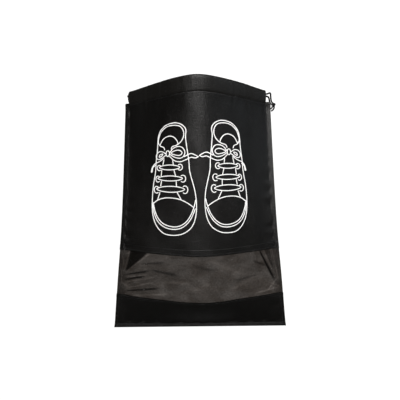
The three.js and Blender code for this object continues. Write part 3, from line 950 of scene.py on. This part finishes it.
BIG_LOOP = (False, [(0.7, 51), (6.3, 43.8), (14, 40.8), (21, 42.6), (25.3, 49.6), (23.8, 57), (18.2, 60.7),
                    (9.8, 59.3), (1.4, 54.2)])
BIG_LOOP_INSIDE = (True, [(2.8, 51.8), (9.8, 47.6), (16.8, 47.4), (21, 51.6), (17.5, 55.8), (10.5, 55.2)])
SMALL_LOOP = (False, [(-5.7, 52.6), (-11.9, 48.6), (-17.5, 48.8), (-21.7, 53), (-22.2, 59), (-18.9, 62),
                      (-13.3, 60.4), (-6.4, 55.4)])
SMALL_LOOP_INSIDE = (True, [(-10.8, 52.6), (-15.8, 54), (-17.2, 58), (-13.3, 56.6)])
LONG_TAIL_OVER = (False, [(24.6, 58.4), (34.3, 53.6), (42, 56), (47, 59.2)])
LONG_TAIL_UNDER = (False, [(0.5, 57.2), (8.4, 64.6), (18.2, 66.8), (28, 63.2), (35.7, 59.8), (42, 61),
                           (47, 59.2)])
SHORT_TAIL_OVER = (False, [(-9.1, 60), (-16.8, 65.6), (-25, 69.4), (-30, 75.4), (-32.4, 83.8)])
SHORT_TAIL_UNDER = (False, [(-30.6, 83), (-29.4, 76.6), (-24.6, 71.8)])
TAIL_TIP = (False, [(-32.4, 83.8), (-31.2, 84.6), (-30.6, 83)])
LACE_STROKES = [BIG_LOOP, BIG_LOOP_INSIDE, SMALL_LOOP, SMALL_LOOP_INSIDE, LONG_TAIL_OVER, LONG_TAIL_UNDER,
                SHORT_TAIL_OVER, SHORT_TAIL_UNDER, TAIL_TIP]

# Each lace row: its middle, its place below the heel, half length, half height. Then the
# tongue's two sides between the rows, and an eyelet round each end of a row.
LACE_ROWS = ((0.0, 76.2, 17.5, 4.2), (0.7, 95.1, 21.0, 4.3), (1.4, 113.5, 23.8, 5.0))
TONGUE_SIDES = (((-9.1, 62.5), (-10.9, 71)), ((5.6, 64.5), (6.6, 71)), ((-13.3, 81), (-14.4, 90.2)),
                ((7.7, 81), (10.1, 90)), ((-14, 100), (-15.4, 108)), ((11.2, 100), (11.5, 108)),
                ((-17, 119.6), (-21, 131.6)), ((13, 119.2), (19.6, 131)))
EYELETS = ((17.4, 76, 4.2, 5.0, 1), (22.4, 95.4, 4.6, 5.8, 1), (25.8, 114, 4.8, 6.4, 1),
           (-17.4, 77, 4.0, 4.6, -1), (-20.0, 96.3, 3.8, 5.2, -1), (-22.6, 114.8, 4.4, 5.8, -1))
BOW_KNOT = (-2.5, 52.2, 2.9, 4.9)


def oval(middle, height, half_length, half_height, pinch=1.0):
    angle = np.linspace(0, 2 * np.pi, 20, endpoint=False)
    rise = np.sign(np.sin(angle)) * np.abs(np.sin(angle)) ** pinch
    return True, list(zip(middle + half_length * np.cos(angle), height + half_height * rise))


def eyelet(middle, height, half_width, half_height, facing):
    angle = np.linspace(math.radians(-125), math.radians(125), 13)
    reach = middle + facing * half_width * np.cos(angle)
    return False, list(zip(reach, height + half_height * np.sin(angle)))


LACE_STROKES.append(oval(*BOW_KNOT))
LACE_STROKES.extend(oval(*row, pinch=1.25) for row in LACE_ROWS)
LACE_STROKES.extend(eyelet(*ring) for ring in EYELETS)
LACE_STROKES.extend((False, list(pair)) for pair in TONGUE_SIDES)


# A smooth line through given points, cut into short steps.
def smooth_line(points, closed, step):
    points = np.asarray(points, float)
    if closed:
        padded = np.concatenate([points[-1:], points, points[:2]])
    else:
        padded = np.concatenate([2 * points[:1] - points[1:2], points, 2 * points[-1:] - points[-2:-1]])
    line = []
    for before, start, end, after in zip(padded, padded[1:], padded[2:], padded[3:]):
        count = max(2, int(np.linalg.norm(end - start) / step) + 1)
        share = np.linspace(0, 1, count, endpoint=False)[:, None]
        line.append(0.5 * (2 * start + (end - before) * share
                           + (2 * before - 5 * start + 4 * end - after) * share ** 2
                           + (3 * start - before - 3 * end + after) * share ** 3))
    line = np.concatenate(line)
    return line if closed else np.concatenate([line, points[-1:]])


# The two edges of a stroke of even width. Open strokes get round ends.
def stroke_edges(line, closed, width, rng):
    if closed:
        along = np.roll(line, -1, axis=0) - np.roll(line, 1, axis=0)
    else:
        along = np.gradient(line, axis=0)
    along /= np.linalg.norm(along, axis=1, keepdims=True)
    across = np.stack([-along[:, 1], along[:, 0]], -1)
    uneven = 1 + 0.07 * np.sin(np.arange(len(line)) * 0.55 + rng.random() * 6)
    half_width = (width / 2 * uneven)[:, None]
    left, right = line + across * half_width, line - across * half_width
    if closed:
        return left, right
    turn = np.linspace(0, np.pi / 2, 5)[1:, None]
    start, end, reach = line[:1], line[-1:], width / 2
    swing, push = np.cos(turn) * reach, np.sin(turn) * reach
    head = [(start + across[:1] * swing * s - along[:1] * push)[::-1] for s in (1, -1)]
    tail = [end + across[-1:] * swing * s + along[-1:] * push for s in (1, -1)]
    return np.concatenate([head[0], left, tail[0]]), np.concatenate([head[1], right, tail[1]])


def ink_points(edge, shoe, height):
    side, middle, lean, heel, _, draw, narrowing = shoe
    share = edge[:, 1] / SHOE_LENGTH
    x = side * (middle - edge[:, 0] * (1 - narrowing * share) + lean * share) / 1000
    v = (heel - edge[:, 1] + draw * np.sin(np.pi * np.clip(share, 0, 1))) / 1000
    return on_surface(front_surface, x / seam_half_width(v), v, np.full(len(v), height))


def ink_mesh(name, shoe, seed):
    rng = random.Random(seed)
    side, lace_shift = shoe[0], shoe[4]
    strokes = [(closed, drawn, 0.0) for closed, drawn in BODY_STROKES]
    strokes += [(closed, drawn, lace_shift) for closed, drawn in LACE_STROKES]
    points, faces = [], []
    for number, (closed, drawn, shift) in enumerate(strokes):
        line = smooth_line(np.asarray(drawn, float) + (shift, 0), closed, 1.1)
        left, right = stroke_edges(line, closed, INK_WIDTH * 1000, rng)
        low = INK_LIFT + number * INK_STACK
        loops = [ink_points(edge, shoe, height) for height in (low + INK_THICKNESS, low)
                 for edge in (left, right)]
        base, count = len(points), len(left)
        for loop in loops:
            points.extend(loop)
        upper_left, upper_right, lower_left, lower_right = (base + count * k for k in range(4))
        for i in range(count if closed else count - 1):
            j = (i + 1) % count
            quads = [(upper_left + i, upper_right + i, upper_right + j, upper_left + j),
                     (lower_left + i, lower_left + j, lower_right + j, lower_right + i),
                     (upper_left + i, upper_left + j, lower_left + j, lower_left + i),
                     (upper_right + i, lower_right + i, lower_right + j, upper_right + j)]
            faces.extend(quad[::-1] if side < 0 else quad for quad in quads)
        if not closed:
            for i, flip in ((0, False), (count - 1, True)):
                cap = (upper_left + i, lower_left + i, lower_right + i, upper_right + i)
                faces.append(cap[::-1] if flip == (side > 0) else cap)
    return grid_mesh(name, points, faces)


# Screen ink: chalk white, a little thin where the cloth's bond points sit low.
def ink_material():
    material, tree, shader = new_material("white_screen_ink")
    place = add_node(tree, "ShaderNodeTexCoord").outputs["Object"]
    web = use_group(tree, bonded_web, Vector=place, Pitch=0.0017, Fibre_Scale=FIBRE_SCALE)
    thin = ranged(tree, noise(tree, place, 420.0, 4.0, 0.65), 0.60, 0.78, 0.0, 0.55)
    worn = maths(tree, "MAXIMUM", thin, maths(tree, "MULTIPLY", web.outputs["Bond"], 0.10))
    set_inputs(shader, Base_Color=mix_colour(tree, worn, *INK_TONES), Roughness=0.62,
               Normal=bump(tree, web.outputs["Height"], 0.3, 0.0001), Specular_IOR_Level=0.25)
    return material


screen_ink = ink_material()
for print_name, node_name, shoe_place, seed in (("left_shoe_print", "print_left_shoe", LEFT_SHOE, 3),
                                                ("right_shoe_print", "print_right_shoe", RIGHT_SHOE, 8)):
    shoe = add_piece(print_name, ink_mesh(print_name, shoe_place, seed), screen_ink)
    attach(shoe, "bag")
    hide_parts(node_name)

# ---------------------------------------------------------------------------------------
# Drawstring: one limp braided polyester cord, under three millimetres thick. It runs through
# the back casing, turns at the left, comes back through the front casing, and its two ends
# are tied in an overhand knot beside the mouth's right end.

CORD_RADIUS = 0.0014
CORD_SIDES = 14
CORD_BELOW_MOUTH = 0.0055
TURN_REACH = 0.0044
BRAID_PITCH = 0.0022
BRAID_YARNS = 4
KNOT_TIGHTNESS = 0.96
CORD_PAINTED_SHADE_TONES = ((0.0015, 0.0015, 0.0018), (0.006, 0.006, 0.0068))

FRONT_STRAND = [(116.3, 196.8, 50.6), (119.8, 197.4, 51), (122.8, 199, 49.8), (125.8, 199.2, 45.5),
                (128.4, 198, 36), (131.6, 196.6, 25), (135.6, 195.8, 14), (140.4, 194.8, 6.9)]
BACK_STRAND = [(116.3, 196.6, 41.2), (119.8, 196.5, 40.9), (123.4, 196.2, 38.4), (126.2, 195.6, 32.5),
               (128.9, 194.8, 24), (132.5, 193.9, 14.4), (137, 193.5, 7.2)]
KNOT_CENTRE = (141.8, 193.6, 3.4)
FRONT_TAIL = [(139.6, 190, 2.3), (138.2, 188.2, 1.7), (135.8, 186.7, 1.4), (132.8, 185.6, 1.4)]
BACK_TAIL = [(143, 190.2, 2.3), (142.6, 187.6, 1.8), (140.6, 184.8, 1.4), (137.6, 182.8, 1.4)]


# A round cord along a line of points, with its cut ends closed and slightly rounded.
def tube_mesh(name, line, radius, closed=False):
    line = np.asarray(line, float)
    along = np.roll(line, -1, axis=0) - np.roll(line, 1, axis=0) if closed else np.gradient(line, axis=0)
    along /= np.linalg.norm(along, axis=1, keepdims=True)
    side = np.cross(along[0], (0.0, 0.0, 1.0))
    if np.linalg.norm(side) < 0.1:
        side = np.cross(along[0], (0.0, 1.0, 0.0))
    sides = []
    for direction in along:
        side = side - direction * np.dot(side, direction)
        side = side / np.linalg.norm(side)
        sides.append(side)
    sides = np.asarray(sides)
    ups = np.cross(along, sides)
    if closed:
        gap = math.atan2(float(np.dot(sides[0], ups[-1])), float(np.dot(sides[0], sides[-1])))
        twist = np.linspace(0, gap, len(line))[:, None]
        sides, ups = sides * np.cos(twist) + ups * np.sin(twist), ups * np.cos(twist) - sides * np.sin(twist)
    angle = np.linspace(0, 2 * np.pi, CORD_SIDES, endpoint=False)
    scale = np.ones(len(line))
    if not closed:
        travelled = np.concatenate([[0], np.cumsum(np.linalg.norm(np.diff(line, axis=0), axis=1))])
        from_end = np.minimum(travelled, travelled[-1] - travelled)
        scale = np.sqrt(np.clip(from_end / (radius * 0.5), 0, 1)) * 0.35 + 0.65
    ring = sides[:, None] * np.cos(angle)[None, :, None] + ups[:, None] * np.sin(angle)[None, :, None]
    points = line[:, None] + ring * (radius * scale)[:, None, None]
    rings = len(line)
    index = np.arange(rings * CORD_SIDES).reshape(rings, CORD_SIDES)
    if closed:
        index = np.concatenate([index, index[:1]])
    turned = np.roll(index, -1, axis=1)
    faces = np.stack([index[:-1], turned[:-1], turned[1:], index[1:]], -1).reshape(-1, 4).tolist()
    lengths = np.linalg.norm(np.diff(np.concatenate([line, line[:1]]), axis=0), axis=1)
    travelled = np.concatenate([[0], np.cumsum(lengths)])
    uv = []
    for ring_number in range(len(index) - 1):
        low, high = travelled[ring_number], travelled[ring_number + 1]
        for i in range(CORD_SIDES):
            uv.extend([(low, i / CORD_SIDES), (low, (i + 1) / CORD_SIDES), (high, (i + 1) / CORD_SIDES),
                       (high, i / CORD_SIDES)])
    if not closed:
        faces.append(index[0][::-1].tolist())
        faces.append(index[-1].tolist())
        uv.extend([(0.0, 0.0)] * CORD_SIDES * 2)
    return grid_mesh(name, points.reshape(-1, 3), faces, uv)


# Braid: two sets of slanting yarns that cross, as ridges along the cord's own length.
def braid_material():
    material, tree, shader = new_material("black_braided_cord")
    split = add_node(tree, "ShaderNodeSeparateXYZ")
    set_inputs(split, Vector=uv_vector(tree))
    length = maths(tree, "MULTIPLY", split.outputs["X"], 2 * math.pi / BRAID_PITCH)
    round_cord = maths(tree, "MULTIPLY", split.outputs["Y"], 2 * math.pi * BRAID_YARNS)
    left = maths(tree, "SINE", maths(tree, "ADD", length, round_cord))
    right = maths(tree, "SINE", maths(tree, "SUBTRACT", length, round_cord))
    yarns = maths(tree, "MAXIMUM", left, right)
    # The grooves between the yarns are painted darker than their crowns, as painted shade.
    tone = ranged(tree, yarns, -0.4, 1.0, 0.0, 1.0)
    set_inputs(shader, Base_Color=mix_colour(tree, tone, *CORD_PAINTED_SHADE_TONES), Roughness=0.55,
               Normal=bump(tree, yarns, 0.7, 0.00018), Specular_IOR_Level=0.15, Sheen_Weight=0.01)
    return material


braided_cord = braid_material()


def run_line(surface, side):
    stations = np.linspace(-CASING_END, CASING_END, 160)
    height = np.full(len(stations), -side * (CASING_HEIGHT - 0.0008) / 2)
    return on_surface(surface, stations, BAG_LENGTH - CORD_BELOW_MOUTH, height)


def left_turn_line(front, back):
    middle = (front + back) / 2
    half_turn = np.linspace(0, np.pi, 40)
    x = min(front[0], back[0]) - 0.0008 - np.sin(half_turn) * TURN_REACH
    y = middle[1] + (front[1] - middle[1]) * np.cos(half_turn)
    z = middle[2] + (front[2] - middle[2]) * np.cos(half_turn)
    return np.stack([x, y, z], -1)


front_run = run_line(front_shape, 1)
back_run = run_line(back_shape, -1)
left_turn = left_turn_line(front_run[0], back_run[0])
for cord_name, node_name, line in (("front_cord_in_casing", "cord_front_run", front_run),
                                   ("back_cord_in_casing", "cord_back_run", back_run),
                                   ("cord_turn", "cord_left_turn", left_turn)):
    hidden_cord = add_piece(cord_name, tube_mesh(cord_name, line, CORD_RADIUS), braided_cord)
    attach(hidden_cord, "bag")
    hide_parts(node_name)


# Overhand knot: the cord pulled into a tight three-lobed tangle.
def knot_line():
    turn = np.linspace(0, 2 * np.pi, 120, endpoint=False)
    over = np.sin(turn) + 1.9 * np.sin(2 * turn)
    along = np.cos(turn) - 1.9 * np.cos(2 * turn)
    rise = -np.sin(3 * turn)
    return metres(KNOT_CENTRE) + np.stack([over * 0.00095, along * 0.00090, rise * 0.00130], -1)


knot = add_piece(
    "drawstring_knot", tube_mesh("drawstring_knot", knot_line(), CORD_RADIUS * KNOT_TIGHTNESS, closed=True),
    braided_cord)
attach(knot, "drawstring")
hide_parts("cord_knot")

# The stretch that lengthens as the cord is drawn out of the casing has many close rings.
DRAWN_LENGTH = 0.0030


def with_close_rings(line):
    close = np.linspace(0, 1, 40)[:, None]
    travelled = np.concatenate([[0], np.cumsum(np.linalg.norm(np.diff(line, axis=0), axis=1))])
    first_past = int(np.searchsorted(travelled, DRAWN_LENGTH))
    return np.concatenate([line[0] + (line[first_past] - line[0]) * close, line[first_past + 1:]])


def add_strand(name, strand, tail, node_names):
    route = [*strand, KNOT_CENTRE, *tail]
    line = with_close_rings(smooth_line(metres(route), False, 0.0004))
    cord = add_piece(name, tube_mesh(name, line, CORD_RADIUS), braided_cord)
    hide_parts(*node_names)
    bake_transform(cord)


add_strand("front_strand", FRONT_STRAND, FRONT_TAIL, ("cord_front_strand", "cord_front_tail"))
add_strand("back_strand", BACK_STRAND, BACK_TAIL, ("cord_back_strand", "cord_back_tail"))
